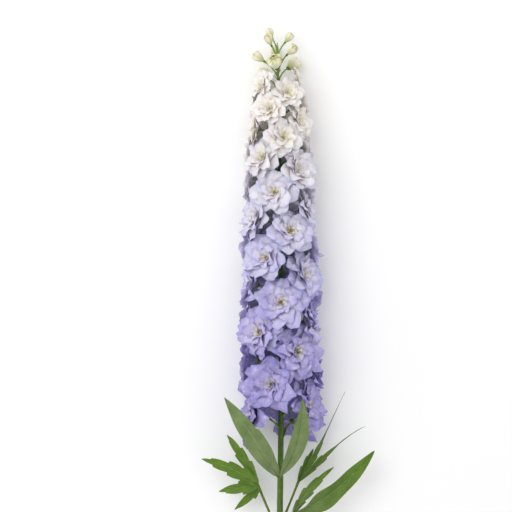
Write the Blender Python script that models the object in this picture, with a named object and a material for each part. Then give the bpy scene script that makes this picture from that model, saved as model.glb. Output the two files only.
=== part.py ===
"""A cut delphinium flower spike, as picked, laid down on a table.

The stem runs along +Y from its cut end to the bud tip, +Z is up and the table is the plane z = 0.
Sizes are in metres. Shapes are worked out along the spike from its cut end, and one empty at the
foot of the stem carries them all, so that the origin is the middle of the whole at table height.
"""

import math

import bmesh
import bpy
from mathutils import Vector

# The spike as a whole
SPIKE_LENGTH = 1.0
FOOT = Vector((-0.017, -0.4961, 0.0))

# The stem lies on its cut end and arches up to ride on the lowest florets
STEM_END = 0.968
STEM_BOW = 0.006
CUT_RADIUS = 0.0055
MID_RADIUS = 0.0038
TOP_RADIUS = 0.0014
CREST_HEIGHT = 0.0515
CREST_START = 0.40
DROOP_START = 0.58
TIP_DROOP = 0.016
STEM_POINTS = 15

# Blooms follow one golden-angle spiral up the stem: open florets, half-open bells, then buds
FLORETS = 45
BELLS = 3
BUDS = 6
GOLDEN_ANGLE = math.radians(137.508)
SPIRAL_PHASE = math.radians(150)
LOWEST_BLOOM = 0.372
TOP_FLORET = 0.886
TOP_BUD = 0.956
CROWDING_UPWARD = 0.42

# Florets shrink evenly up the spike, and once more near its top
FLORET_RADIUS = 0.039
EVEN_SHRINK = 0.009
TOP_SHRINK = 0.009
FLORET_REACH = 0.0335
EVEN_REACH_SHRINK = 0.0035
TOP_REACH_SHRINK = 0.0070
PEDICEL_RISE = 0.020
PEDICEL_RADIUS = 0.0013
SEAT_GAP = 0.0003

# Petals are thin lens sections lofted from claw to tip. Their sizes are shares of the floret radius
PETAL_THICKNESS = 0.0013
PETALS = 6
OUTER_LAYER = dict(length=1.00, width=0.37, root=0.073, rise=0.185, curl=0.080)
INNER_LAYER = dict(length=0.84, width=0.33, root=0.116, rise=0.350, curl=0.040)
OUTER_LAYER["rows"] = ((0.44, 0.86), (0.82, 0.98))
INNER_LAYER["rows"] = ((0.68, 1.0),)
PETAL_CUP = 0.16
PETAL_TILT = 0.14
CORE_RADIUS = 0.130
BELT_DEPTH = 0.092
BELT_HALF = 0.046
CROWN_RADIUS = 0.230
CROWN_HEIGHT = 0.340
FACE_DEPTH = 0.300

# Room for each bloom: neighbours share a wall, and petals near it fold forward instead of crossing
WALL_GAP = 0.0007
CROWDED_FROM = 0.74
FOLD_FORWARD = 0.55
NEIGHBOUR_REACH = 0.130
PRESSED_BELOW = 0.010
PRESSED_TO = -0.0008

BUD_LENGTH = 0.0225
BUD_RADIUS = 0.0068
BELL_LENGTH = 0.0250
BELL_RADIUS = 0.0105

# Lavender florets come first, then lilac ones, and the rest are white
LAST_LAVENDER = 16
LAST_LILAC = 28
WHITE = (0.86, 0.85, 0.80, 1.0)
LILAC = (0.66, 0.64, 0.84, 1.0)
LAVENDER = (0.42, 0.38, 0.74, 1.0)
CREAM = (0.78, 0.80, 0.58, 1.0)
STEM_GREEN = (0.13, 0.27, 0.07, 1.0)
LEAF_GREEN = (0.12, 0.22, 0.08, 1.0)
GREY_GREEN = (0.23, 0.31, 0.17, 1.0)


def smooth(u):
    """Eases from 0 to 1 with no slope at either end."""
    u = min(max(u, 0.0), 1.0)
    return u * u * (3 - 2 * u)


def mix(a, b, u):
    return a + (b - a) * u


def stem_point(y):
    """The middle of the stem at a distance y from its cut end."""
    rise = smooth(y / CREST_START)
    droop = max(0.0, (y - DROOP_START) / (SPIKE_LENGTH - DROOP_START)) ** 1.5
    height = mix(CUT_RADIUS, CREST_HEIGHT, rise) - TIP_DROOP * droop
    return Vector((STEM_BOW * math.sin(math.pi * y / SPIKE_LENGTH), y, height))


def stem_radius(y):
    """The stem narrows slowly to its middle and faster to its tip."""
    half = SPIKE_LENGTH / 2
    if y < half:
        return mix(CUT_RADIUS, MID_RADIUS, y / half)
    return mix(MID_RADIUS, TOP_RADIUS, ((y - half) / half) ** 1.3)


def stem_frame(y, turn):
    """Along the stem, and straight out of it, turned from the top of the stem towards +X."""
    along = (stem_point(y + 0.001) - stem_point(y - 0.001)).normalized()
    side = along.cross(Vector((0, 0, 1))).normalized()
    up = side.cross(along)
    return along, up * math.cos(turn) + side * math.sin(turn)


def bloom_height(order):
    """Where the order-th bloom leaves the stem. Blooms stand closer together higher up."""
    if order < FLORETS:
        u = order / (FLORETS - 1)
        u = u * (1 + CROWDING_UPWARD) - CROWDING_UPWARD * u * u
        return mix(LOWEST_BLOOM, TOP_FLORET, u)
    u = (order - FLORETS + 1) / (BELLS + BUDS)
    return mix(TOP_FLORET, TOP_BUD, u)


def plan_blooms():
    """Kind, size, seat and facing of every bloom, from the lowest up."""
    blooms = []
    for order in range(FLORETS + BELLS + BUDS):
        y = bloom_height(order)
        along, out = stem_frame(y, SPIRAL_PHASE + order * GOLDEN_ANGLE)
        bloom = dict(order=order, y=y, along=along, out=out, spin=order * 1.3)
        if order < FLORETS:
            u = order / (FLORETS - 1)
            radius = FLORET_RADIUS - EVEN_SHRINK * u - TOP_SHRINK * u ** 4
            reach = FLORET_REACH - EVEN_REACH_SHRINK * u - TOP_REACH_SHRINK * u ** 4
            bloom.update(kind="floret", radius=radius, face=FACE_DEPTH * radius)
            bloom.update(reach=reach, rise=PEDICEL_RISE, tilt=math.radians(14))
        elif order < FLORETS + BELLS:
            bloom.update(kind="bell", radius=BELL_RADIUS, length=BELL_LENGTH)
            bloom.update(reach=0.0200, rise=0.022, tilt=math.radians(30), face=BELL_LENGTH * 0.6)
        else:
            u = (order - FLORETS - BELLS) / (BUDS - 1)
            bloom.update(kind="bud", radius=mix(BUD_RADIUS, BUD_RADIUS * 0.8, u))
            bloom.update(length=mix(BUD_LENGTH, BUD_LENGTH * 0.85, u), face=BUD_LENGTH * 0.6)
            bloom.update(reach=mix(0.0190, 0.0080, u ** 1.6), rise=mix(0.022, 0.019, u))
            bloom.update(tilt=math.radians(mix(34, 62, u ** 1.5)))
        seat = stem_point(y) + out * bloom["reach"] + along * bloom["rise"]
        facing = (out * math.cos(bloom["tilt"]) + along * math.sin(bloom["tilt"])).normalized()
        across = facing.cross(along).normalized()
        bloom.update(seat=seat, facing=facing, across=across, upward=across.cross(facing))
        blooms.append(bloom)
    for bloom in blooms:
        bloom["walls"] = walls_between(bloom, blooms)
    return blooms


def walls_between(bloom, blooms):
    """Planes (normal, offset) that part this bloom from each near one, nearer to the smaller."""
    walls = []
    mine = bloom["seat"] + bloom["facing"] * bloom["face"]
    for other in blooms:
        theirs = other["seat"] + other["facing"] * other["face"]
        apart = theirs - mine
        if other is bloom or apart.length > NEIGHBOUR_REACH:
            continue
        share = bloom["radius"] / (bloom["radius"] + other["radius"])
        normal = apart.normalized()
        walls.append((normal, normal.dot(mine + apart * share) - WALL_GAP))
    return walls


def make_room(bloom, point):
    """Draws a point in towards the bloom's axis where it nears a wall, and folds it forward."""
    offset = point - bloom["seat"]
    depth = offset.dot(bloom["facing"])
    sideways = offset - bloom["facing"] * depth
    radius = sideways.length
    if radius < 1e-6:
        return point
    direction = sideways / radius
    axis_point = bloom["seat"] + bloom["facing"] * depth
    limit = min(
        (
            (offset_to - normal.dot(axis_point)) / normal.dot(direction)
            for normal, offset_to in bloom["walls"]
            if normal.dot(direction) > 1e-6
        ),
        default=1.0,
    )
    if radius <= CROWDED_FROM * limit:
        return point
    spare = 1 - CROWDED_FROM
    kept = limit * (CROWDED_FROM + spare * math.tanh((radius / limit - CROWDED_FROM) / spare))
    return axis_point + direction * kept + bloom["facing"] * FOLD_FORWARD * (radius - kept)


def press(point):
    """Petals that would reach into the table are pressed flat against it."""
    if point.z >= PRESSED_BELOW:
        return point
    span = PRESSED_BELOW - PRESSED_TO
    height = PRESSED_TO + span * math.exp((point.z - PRESSED_BELOW) / span)
    return Vector((point.x, point.y, height))


def new_object(name, mesh, material=None):
    obj = bpy.data.objects.new(name, mesh)
    if material:
        mesh.materials.clear()
        mesh.materials.append(material)
    return obj


def finished_mesh(name, shape):
    """Closes a shape being built: all its faces are triangles and look outward."""
    bmesh.ops.triangulate(shape, faces=shape.faces)
    bmesh.ops.recalc_face_normals(shape, faces=shape.faces)
    mesh = bpy.data.meshes.new(name)
    shape.to_mesh(mesh)
    shape.free()
    return mesh


def loft_blade(shape, root, rows, tip, thickness):
    """Lofts a thin blade from a ring of four root vertices through its rows to a pointed tip.

    Each row is (left edge, middle, right edge). A section has sharp edges and a thicker middle,
    and both faces are split alike, so that they never cross.
    """
    rings = [root]
    middles = [(root[1].co + root[3].co) / 2] + [row[1] for row in rows] + [tip]
    for index, (left, middle, right) in enumerate(rows):
        run = middles[index + 2] - middles[index]
        normal = (right - left).cross(run).normalized() * (thickness / 2)
        rings.append([shape.verts.new(p) for p in (left, middle + normal, right, middle - normal)])
    for low, high in zip(rings, rings[1:]):
        for here, after in ((0, 1), (2, 1), (0, 3), (2, 3)):
            shape.faces.new((low[here], low[after], high[after]))
            shape.faces.new((low[here], high[after], high[here]))
    point = shape.verts.new(tip)
    for here in range(4):
        shape.faces.new((rings[-1][here], rings[-1][(here + 1) % 4], point))


def blade(name, rows, tip, thickness):
    """A blade on its own, closed at its root by its first row."""
    shape = bmesh.new()
    (left, middle, right), after = rows[0], rows[1][1]
    normal = (right - left).cross(after - middle).normalized() * (thickness / 2)
    root = [shape.verts.new(p) for p in (left, middle + normal, right, middle - normal)]
    shape.faces.new((root[0], root[1], root[3]))
    shape.faces.new((root[1], root[2], root[3]))
    loft_blade(shape, root, rows[1:], tip, thickness)
    return new_object(name, finished_mesh(name, shape))


def tube(name, points, radii, resolution):
    """A round stalk as a bevelled curve, given back as a closed mesh."""
    curve = bpy.data.curves.new(name, "CURVE")
    curve.dimensions = "3D"
    curve.bevel_depth = 1.0
    curve.bevel_resolution = resolution
    curve.use_fill_caps = True
    spline = curve.splines.new("POLY")
    spline.points.add(len(points) - 1)
    for place, point, radius in zip(spline.points, points, radii):
        place.co = (*point, 1.0)
        place.radius = radius
    guide = bpy.data.objects.new(name, curve)
    bpy.context.scene.collection.objects.link(guide)
    graph = bpy.context.evaluated_depsgraph_get()
    mesh = bpy.data.meshes.new_from_object(guide.evaluated_get(graph))
    bpy.data.objects.remove(guide)
    shape = bmesh.new()
    shape.from_mesh(mesh)
    bmesh.ops.remove_doubles(shape, verts=shape.verts, dist=1e-6)
    return new_object(name, finished_mesh(name, shape))


def fuse(name, body, additions, material, origin):
    """One Boolean union of a body with everything that grows from it, set on its own origin."""
    repeats = bpy.data.collections.new(name + "_repeats")
    bpy.context.scene.collection.children.link(repeats)
    bpy.context.scene.collection.objects.link(body)
    for addition in additions:
        repeats.objects.link(addition)
    union = body.modifiers.new("union", "BOOLEAN")
    union.operation = "UNION"
    union.operand_type = "COLLECTION"
    union.collection = repeats
    union.solver = "EXACT"
    graph = bpy.context.evaluated_depsgraph_get()
    mesh = bpy.data.meshes.new_from_object(body.evaluated_get(graph))
    for used in [body, *additions]:
        bpy.data.objects.remove(used)
    bpy.data.collections.remove(repeats)
    mesh.name = name
    return place(new_object(name, mesh, material), origin)


def place(obj, origin):
    """Sets a finished piece on its own origin and hangs it from the foot of the spike."""
    for vertex in obj.data.vertices:
        vertex.co.z = max(vertex.co.z, 0.0)
        vertex.co -= origin
    obj.location = origin
    obj.parent = spike_foot
    spike.objects.link(obj)
    return obj


def bloom_point(bloom, angle, radius, depth):
    """A point of a bloom, from its seat: outward at an angle, then forward."""
    outward = bloom["across"] * math.cos(angle) + bloom["upward"] * math.sin(angle)
    return bloom["seat"] + outward * radius + bloom["facing"] * depth


def petal(shape, bloom, layer, angle, root):
    """One petal: a narrow claw from the core, then a broad blade that opens out and curls back."""
    size = bloom["radius"]

    def point(s, sideways, half):
        """A point of the petal in its own room: s from claw to tip, sideways in half widths."""
        lift = layer["rise"] * (1 - (1 - s) ** 2.2) - layer["curl"] * s ** 3
        bend = half * (PETAL_CUP * s * abs(sideways) - PETAL_TILT * sideways)
        middle = bloom_point(bloom, angle, size * mix(CORE_RADIUS, layer["length"], s), 0.0)
        across = bloom_point(bloom, angle + math.pi / 2, half * sideways, size * (layer["root"] + lift) + bend)
        return press(make_room(bloom, middle + across - bloom["seat"]))

    rows = []
    for s, width in layer["rows"]:
        half = size * layer["width"] * width
        rows.append((point(s, -1, half), point(s, 0, half), point(s, 1, half)))
    loft_blade(shape, root, rows, point(1.0, 0, 0.0), PETAL_THICKNESS)


def floret(name, bloom, material):
    """A double floret: outer and inner petals in turn round a core that ends in a small crown.

    The belt of the core is a ring of diamonds, and each petal is lofted from its own diamond.
    """
    spokes = 2 * PETALS
    step = 2 * math.pi / spokes
    shape = bmesh.new()

    def vert(k, radius, depth):
        """A vertex on spoke k, at a radius and depth in floret radii."""
        size = bloom["radius"]
        return shape.verts.new(press(bloom_point(bloom, bloom["spin"] + k * step, size * radius, size * depth)))

    back = vert(0, 0.0, 0.0)
    centre = vert(0, 0.0, CROWN_HEIGHT * 0.6)
    low, side, high, crown = [], [], [], []
    for k in range(spokes):
        layer = INNER_LAYER if k % 2 else OUTER_LAYER
        flare = 1.0 if k % 2 else 0.72
        low.append(vert(k, CORE_RADIUS * 0.8, layer["root"] - BELT_HALF))
        side.append(vert(k + 0.5, CORE_RADIUS, BELT_DEPTH))
        high.append(vert(k, CORE_RADIUS, layer["root"] + BELT_HALF))
        crown.append(vert(k + 0.5, CROWN_RADIUS * flare, CROWN_HEIGHT * flare))
    for k in range(spokes):
        after = (k + 1) % spokes
        layer = INNER_LAYER if k % 2 else OUTER_LAYER
        shape.faces.new((back, low[after], low[k]))
        shape.faces.new((low[k], low[after], side[k]))
        shape.faces.new((side[k], high[after], high[k]))
        shape.faces.new((high[k], high[after], crown[k]))
        shape.faces.new((high[after], crown[after], crown[k]))
        shape.faces.new((crown[k], crown[after], centre))
        root = (side[k - 1], high[k], side[k], low[k])
        petal(shape, bloom, layer, bloom["spin"] + k * step, root)
    return place(new_object(name, finished_mesh(name, shape), material), bloom["seat"])


def closed_bloom(name, bloom, material):
    """A bud or a half-open bell: narrow at its seat, widest past its middle, with a lobed end."""
    bell = bloom["kind"] == "bell"
    lobes = 5 if bell else 3
    shape = bmesh.new()
    bmesh.ops.create_uvsphere(shape, u_segments=2 * lobes, v_segments=6, radius=1.0)
    profile = ((0.0, 0.0), (0.32, 0.16), (0.72, 0.42), (1.0, 0.70), (0.86, 0.94), (0.40, 1.0), (0.0, 0.93))
    for vertex in shape.verts:
        x, y, z = vertex.co
        ring = round(6 * (1 - math.acos(max(-1.0, min(1.0, z))) / math.pi))
        wide, far = profile[ring]
        angle = math.atan2(y, x)
        ridge = 1 + (0.10 if ring >= 4 else 0.03) * math.cos(lobes * angle)
        if bell and ring == 5:
            wide, far = 0.50, 0.86
        vertex.co = bloom_point(bloom, angle, bloom["radius"] * wide * ridge, bloom["length"] * far)
    return place(new_object(name, finished_mesh(name, shape), material), bloom["seat"])


def bezier(a, b, c, d, u):
    """A cubic curve from a to d, drawn towards b and c on the way."""
    v = 1 - u
    return a * v ** 3 + b * 3 * v * v * u + c * 3 * v * u * u + d * u ** 3


def pedicel(bloom):
    """A flower stalk: it leaves the stem upward and turns out to meet the back of its bloom."""
    foot = stem_point(bloom["y"])
    end = bloom["seat"] - bloom["facing"] * SEAT_GAP
    leave = foot + bloom["along"] * bloom["rise"] * 0.55 + bloom["out"] * bloom["reach"] * 0.35
    arrive = end - bloom["facing"] * bloom["reach"] * 0.35
    points = [bezier(foot, leave, arrive, end, u) for u in (0.04, 0.42, 0.78, 1.0)]
    radii = [PEDICEL_RADIUS * size for size in (1.15, 0.9, 1.0, 1.35)]
    return tube("pedicel", points, radii, 0)


def bract(bloom, length, width):
    """The narrow leaf at the foot of a flower stalk."""
    foot = stem_point(bloom["y"] - 0.006)
    along, out = bloom["along"], bloom["out"]
    side = along.cross(out).normalized()
    rows = []
    for s, share in ((0.05, 0.8), (0.35, 1.0), (0.7, 0.7)):
        middle = foot + out * length * 0.55 * s + along * length * (0.75 * s - 0.15 * s * s)
        rows.append((middle - side * width * share, middle, middle + side * width * share))
    tip = foot + out * length * 0.50 + along * length * 0.62
    return blade("bract", rows, tip, 0.0011)


def stem(blooms, material):
    """The stem with every flower stalk and bract grown from it."""
    points, radii = [], []
    for step in range(STEM_POINTS):
        y = STEM_END * step / (STEM_POINTS - 1)
        points.append(stem_point(y))
        radii.append(stem_radius(y))
    body = tube("stem_body", points, radii, 2)
    growth = [pedicel(bloom) for bloom in blooms]
    growth += [bract(bloom, 0.040, 0.0022) for bloom in blooms[0:10:3]]
    growth += [bract(bloom, 0.017, 0.0012) for bloom in blooms[FLORETS::3]]
    return fuse("stem", body, growth, material, stem_point(0.0))


# Leaves: each lobe is (palm, pull, tip, half width, teeth), and its faces look along the given normal
LOBE_ROWS = (0.0, 0.16, 0.32, 0.50, 0.66, 0.80, 0.91)
LOBE_CLAW = 0.16
LOBE_FOLD = 0.22
TOOTH_SHARE = 0.22


def lobe(palm, pull, tip, half, normal, teeth):
    """One lance-shaped lobe of a leaf, bent along a curve and folded a little along its midrib.

    It is widest two fifths of the way up. Every second row steps in, which cuts the teeth.
    """
    rows = []
    for index, s in enumerate(LOBE_ROWS):
        v = 1 - s
        middle = palm * v * v + pull * 2 * v * s + tip * s * s
        run = (pull - palm) * v + (tip - pull) * s
        side = run.cross(normal).normalized()
        step = 1 - TOOTH_SHARE * teeth if index % 2 else 1.0
        lance = max(math.sin(math.pi * s ** 0.75), 0.0) ** 0.8
        width = half * max(lance, LOBE_CLAW) * step
        fold = normal * width * LOBE_FOLD
        rows.append((middle - side * width + fold, middle, middle + side * width + fold))
    return blade("lobe", rows, tip, 0.0012)


def leaf(name, petiole, lobes, normal, material):
    """A palmate leaf: lobes that meet at the palm on the end of one stalk, seated on the stem."""
    stalk = tube(name + "_stalk", petiole, [0.0019, 0.0016, 0.0016, 0.0020], 1)
    inside = petiole[-1] + (petiole[-2] - petiole[-1]).normalized() * 0.004
    blades = [lobe(inside, Vector(pull), Vector(tip), half, normal, teeth) for pull, tip, half, teeth in lobes]
    return fuse(name, stalk, blades, material, petiole[0])


def petiole_points(y, turn, palm, swell):
    """Four points from the stem's skin to the palm of a leaf."""
    along, out = stem_frame(y, turn)
    foot = stem_point(y) + out * (stem_radius(y) + SEAT_GAP + 0.0019)
    leave = foot + along * swell + out * swell * 0.5
    arrive = mix(palm, leave, 0.4)
    return [bezier(foot, leave, arrive, palm, u) for u in (0.0, 0.35, 0.7, 1.0)]


def material(name, colour, roughness):
    made = bpy.data.materials.new(name)
    made.use_nodes = True
    shader = made.node_tree.nodes["Principled BSDF"]
    shader.inputs["Base Color"].default_value = colour
    shader.inputs["Roughness"].default_value = roughness
    shader.inputs["Metallic"].default_value = 0.0
    return made


def leaves(green, grey):
    """The leaves that stay on the lower stem, above the bare cut end."""
    palm = Vector((0.002, 0.322, 0.074))
    leaf(
        "leaf_front",
        petiole_points(0.262, 0.0, palm, 0.016),
        [
            ((-0.024, 0.368, 0.124), (-0.078, 0.440, 0.100), 0.0165, 0.6),
            ((0.030, 0.360, 0.122), (0.052, 0.437, 0.110), 0.0120, 0.4),
        ],
        Vector((0.0, -0.25, 0.97)),
        grey,
    )
    palm = Vector((0.026, 0.262, 0.050))
    leaf(
        "leaf_right",
        petiole_points(0.232, 1.3, palm, 0.010),
        [
            ((0.080, 0.276, 0.060), (0.148, 0.352, 0.036), 0.0150, 0.3),
            ((0.040, 0.298, 0.066), (0.086, 0.330, 0.050), 0.0085, 1.0),
        ],
        Vector((0.2, -0.2, 0.95)),
        green,
    )
    palm = Vector((-0.030, 0.305, 0.046))
    leaf(
        "leaf_left",
        petiole_points(0.240, -1.3, palm, 0.012),
        [
            ((-0.060, 0.330, 0.058), (-0.114, 0.340, 0.040), 0.0120, 1.0),
            ((-0.050, 0.350, 0.056), (-0.078, 0.372, 0.034), 0.0090, 1.0),
            ((-0.050, 0.300, 0.052), (-0.088, 0.290, 0.036), 0.0105, 1.0),
            ((-0.030, 0.290, 0.040), (-0.066, 0.262, 0.024), 0.0085, 1.0),
        ],
        Vector((-0.2, 0.0, 0.98)),
        green,
    )
    palm = Vector((0.034, 0.308, 0.034))
    leaf(
        "leaf_wisp",
        petiole_points(0.250, 2.0, palm, 0.012),
        [
            ((0.068, 0.350, 0.030), (0.094, 0.446, 0.050), 0.0042, 0.6),
            ((0.080, 0.348, 0.034), (0.124, 0.398, 0.026), 0.0046, 0.6),
            ((0.046, 0.330, 0.026), (0.056, 0.352, 0.018), 0.0070, 1.0),
        ],
        Vector((0.1, 0.0, 0.99)),
        green,
    )


for leftover in list(bpy.data.objects):
    bpy.data.objects.remove(leftover)
spike = bpy.data.collections.new("delphinium_spike")
bpy.context.scene.collection.children.link(spike)
spike_foot = bpy.data.objects.new("foot", None)
spike_foot.location = FOOT
spike.objects.link(spike_foot)

petals_low = material("petal_lavender", LAVENDER, 0.55)
petals_middle = material("petal_lilac", LILAC, 0.55)
petals_top = material("petal_white", WHITE, 0.55)
buds_cream = material("bud_cream", CREAM, 0.50)
stem_green = material("stem_green", STEM_GREEN, 0.50)
leaf_green = material("leaf_green", LEAF_GREEN, 0.60)
leaf_grey = material("leaf_grey", GREY_GREEN, 0.70)

plan = plan_blooms()
for bloom in plan:
    number = bloom["order"] + 1
    if bloom["kind"] == "floret":
        tone = petals_low if number <= LAST_LAVENDER else petals_middle if number <= LAST_LILAC else petals_top
        floret(f"floret_{number:02d}", bloom, tone)
    elif bloom["kind"] == "bell":
        closed_bloom(f"bell_{number - FLORETS:02d}", bloom, buds_cream)
    else:
        closed_bloom(f"bud_{number - FLORETS - BELLS:02d}", bloom, buds_cream)
stem(plan, stem_green)
leaves(leaf_green, leaf_grey)
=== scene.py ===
"""A cut double delphinium, laid on a pale table and seen from above.

The spike lies along +Y from its cut end to its bud tip. Sizes are in metres.
"""

import functools
import math
import types

import bpy
import numpy as np
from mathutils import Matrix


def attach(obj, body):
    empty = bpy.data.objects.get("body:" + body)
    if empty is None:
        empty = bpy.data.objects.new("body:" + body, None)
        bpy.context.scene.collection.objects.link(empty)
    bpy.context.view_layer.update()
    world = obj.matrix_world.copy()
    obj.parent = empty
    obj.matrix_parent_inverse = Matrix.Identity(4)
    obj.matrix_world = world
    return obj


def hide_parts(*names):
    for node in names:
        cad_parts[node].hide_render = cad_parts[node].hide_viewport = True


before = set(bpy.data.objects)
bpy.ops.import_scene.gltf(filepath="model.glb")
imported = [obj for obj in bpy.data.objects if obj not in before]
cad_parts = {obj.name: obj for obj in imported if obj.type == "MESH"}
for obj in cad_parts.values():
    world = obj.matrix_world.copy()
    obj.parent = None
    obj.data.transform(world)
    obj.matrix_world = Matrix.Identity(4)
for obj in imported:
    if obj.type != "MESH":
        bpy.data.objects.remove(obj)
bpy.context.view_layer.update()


# The stem: one round green stalk, pithy and hollow at the cut, that arches from the table up to
# the height at which the lowest florets carry it. Every flower stalk grows out of it on a soft
# collar. The skin is smooth, faintly ribbed and matt from a bloom of very fine hair.
SPIKE_LENGTH = 1.0
FOOT = np.array([-0.017, -0.4961, 0.0])
STEM_END = 0.968
STEM_BOW = 0.006
CUT_RADIUS = 0.0055
MID_RADIUS = 0.0038
TOP_RADIUS = 0.0014
UPPER_TAPER = 1.3
CREST_HEIGHT = 0.0515
CREST_START = 0.40
DROOP_START = 0.58
TIP_DROOP = 0.016
STEM_RINGS = 150
STEM_SIDES = 28
STEM_RIBS = 7
RIB_HEIGHT = 0.045
RIM_SHARE = 0.94
TIP_SHARES = (1.0, 0.92, 0.75, 0.4)
PITH_DEPTHS = (0.009, 0.0004, 0.0)
PITH_SHARES = (0.33, 0.55, 0.6875)
STEM_CLEARANCE = 0.0001

# Blooms stand on one golden-angle spiral: open florets, then half-open bells, then buds. A bud's
# pairs of numbers go from the lowest to the highest. A floret's losses towards the top are the
# part that grows evenly and the part that grows as the fourth power.
FLORETS = 45
BELLS = 3
BUDS = 6
GOLDEN_ANGLE = math.radians(137.508)
SPIRAL_PHASE = math.radians(150)
LOWEST_BLOOM = 0.372
TOP_FLORET = 0.886
TOP_BUD = 0.956
CROWDING_UPWARD = 0.42
FLORET_RADIUS = 0.039
FLORET_REACH = 0.0335
RADIUS_LOSS = (0.009, 0.009)
REACH_LOSS = (0.0035, 0.0070)
FLORET_RISE = 0.020
FLORET_TILT = 14
FLORET_FACE = 0.3
BELL_RADIUS = 0.0105
BELL_LENGTH = 0.0250
BELL_REACH = 0.020
BELL_RISE = 0.022
BELL_TILT = 30
BUD_RADIUS = (0.0068, 0.00544)
BUD_LENGTH = (0.0225, 0.019125)
BUD_REACH = (0.0190, 0.0080)
BUD_RISE = (0.022, 0.019)
BUD_TILT = (34, 62)
YOUNG_FACE = 0.6
NOD = 4.0
NOD_SEED = 300
SPIN_STEP = 1.3


def mix(a, b, u):
    return a + (b - a) * u


def smooth(u):
    """Three squares less two cubes: eases from 0 to 1 with no slope at either end."""
    u = np.clip(u, 0.0, 1.0)
    return u * u * (3 - 2 * u)


def unit(vectors):
    return vectors / np.maximum(np.linalg.norm(vectors, axis=-1, keepdims=True), 1e-12)


def stem_point(y):
    """The middle of the stem y metres from the cut: an eased rise to the crest, then a droop."""
    y = np.asarray(y, float)
    droop = np.maximum(0.0, (y - DROOP_START) / (SPIKE_LENGTH - DROOP_START)) ** 1.5
    height = mix(CUT_RADIUS, CREST_HEIGHT, smooth(y / CREST_START)) - TIP_DROOP * droop
    return np.stack([STEM_BOW * np.sin(np.pi * y / SPIKE_LENGTH), y, height], -1) + FOOT


def stem_radius(y):
    """Thins evenly to the middle of the spike, then as a power of the way on from it."""
    half = SPIKE_LENGTH / 2
    lower = mix(CUT_RADIUS, MID_RADIUS, y / half)
    upper = mix(MID_RADIUS, TOP_RADIUS, np.maximum((y - half) / half, 0.0) ** UPPER_TAPER)
    return np.where(y < half, lower, upper)


def stem_frame(y, turn):
    """Along the stem, and straight out of it, turned from the top of the stem towards +X."""
    along = unit(stem_point(y + 0.001) - stem_point(y - 0.001))
    side = unit(np.cross(along, [0.0, 0.0, 1.0]))
    return along, np.cross(side, along) * math.cos(turn) + side * math.sin(turn)


def plan_bloom(order):
    """The kind, size, seat and axes of the order-th bloom up the spike.

    The seat is reach out of the stem and rise along it. The bloom faces out, raised by its tilt
    and a small nod of its own, and face is how far in front of the seat its middle lies.
    """
    if order < FLORETS:
        u = order / (FLORETS - 1)
        y = mix(LOWEST_BLOOM, TOP_FLORET, u * (1 + CROWDING_UPWARD) - CROWDING_UPWARD * u * u)
        radius = FLORET_RADIUS - RADIUS_LOSS[0] * u - RADIUS_LOSS[1] * u ** 4
        reach = FLORET_REACH - REACH_LOSS[0] * u - REACH_LOSS[1] * u ** 4
        kind, length, face = "floret", radius, FLORET_FACE * radius
        rise, tilt = FLORET_RISE, FLORET_TILT
    else:
        y = mix(TOP_FLORET, TOP_BUD, (order - FLORETS + 1) / (BELLS + BUDS))
        if order < FLORETS + BELLS:
            kind, radius, length = "bell", BELL_RADIUS, BELL_LENGTH
            reach, rise, tilt = BELL_REACH, BELL_RISE, BELL_TILT
            face = YOUNG_FACE * BELL_LENGTH
        else:
            u = (order - FLORETS - BELLS) / (BUDS - 1)
            kind, radius, length = "bud", mix(*BUD_RADIUS, u), mix(*BUD_LENGTH, u)
            reach, rise, tilt = mix(*BUD_REACH, u ** 1.6), mix(*BUD_RISE, u), mix(*BUD_TILT, u ** 1.5)
            face = YOUNG_FACE * BUD_LENGTH[0]
    along, out = stem_frame(y, SPIRAL_PHASE + order * GOLDEN_ANGLE)
    nod = np.random.default_rng(NOD_SEED + order).normal(0, math.radians(NOD), 2)
    tilt = math.radians(tilt) + nod[0]
    facing = unit(out * math.cos(tilt) + along * math.sin(tilt) + np.cross(along, out) * nod[1])
    across = unit(np.cross(facing, along))
    return types.SimpleNamespace(
        order=order, kind=kind, y=y, along=along, out=out, radius=radius, length=length,
        reach=reach, rise=rise, face=face, seat=stem_point(y) + out * reach + along * rise,
        facing=facing, across=across, upward=np.cross(across, facing), spin=order * SPIN_STEP,
    )


blooms = [plan_bloom(order) for order in range(FLORETS + BELLS + BUDS)]


def bezier(points, u):
    """A cubic curve through the first and last of four points, at each u."""
    a, b, c, d = points
    u = np.asarray(u)[..., None]
    v = 1 - u
    return a * v ** 3 + 3 * b * v * v * u + 3 * c * v * u * u + d * u ** 3


def tube_faces(rings, sides):
    """Quads between rings of points, then a fan from each end ring to its own middle point.

    The two middle points come after the rings, the foot's first.
    """
    here = np.arange(rings * sides).reshape(rings, sides)
    after = np.roll(here, -1, axis=1)
    walls = np.stack([here[:-1], after[:-1], after[1:], here[1:]], -1).reshape(-1, 4)
    foot = np.stack([after[0], here[0], np.full(sides, here.size)], -1)
    head = np.stack([here[-1], after[-1], np.full(sides, here.size + 1)], -1)
    return [walls, foot, head]


def swept(path, radii, sides, reference, ribs=0, rib_height=0.0):
    """A round section carried along a path, as points, faces and each point's share of the way.

    The section at each point stands square to the path, its first side towards the reference.
    Its radius is the point's own, times one plus a cosine with a crest for every rib.
    """
    run = unit(np.gradient(path, axis=0))
    first = unit(reference - run * np.sum(run * reference, -1, keepdims=True))
    second = np.cross(run, first)
    angle = np.linspace(0, 2 * np.pi, sides, endpoint=False)
    wide = radii[:, None] * (1 + rib_height * np.cos(ribs * angle))
    ring = first[:, None] * np.cos(angle)[:, None] + second[:, None] * np.sin(angle)[:, None]
    rings = path[:, None] + ring * wide[..., None]
    points = np.concatenate([rings.reshape(-1, 3), path[:1], path[-1:]])
    share = np.concatenate([np.linspace(0, 1, len(path)).repeat(sides), [0.0, 1.0]])
    return points, tube_faces(len(path), sides), share


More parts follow.
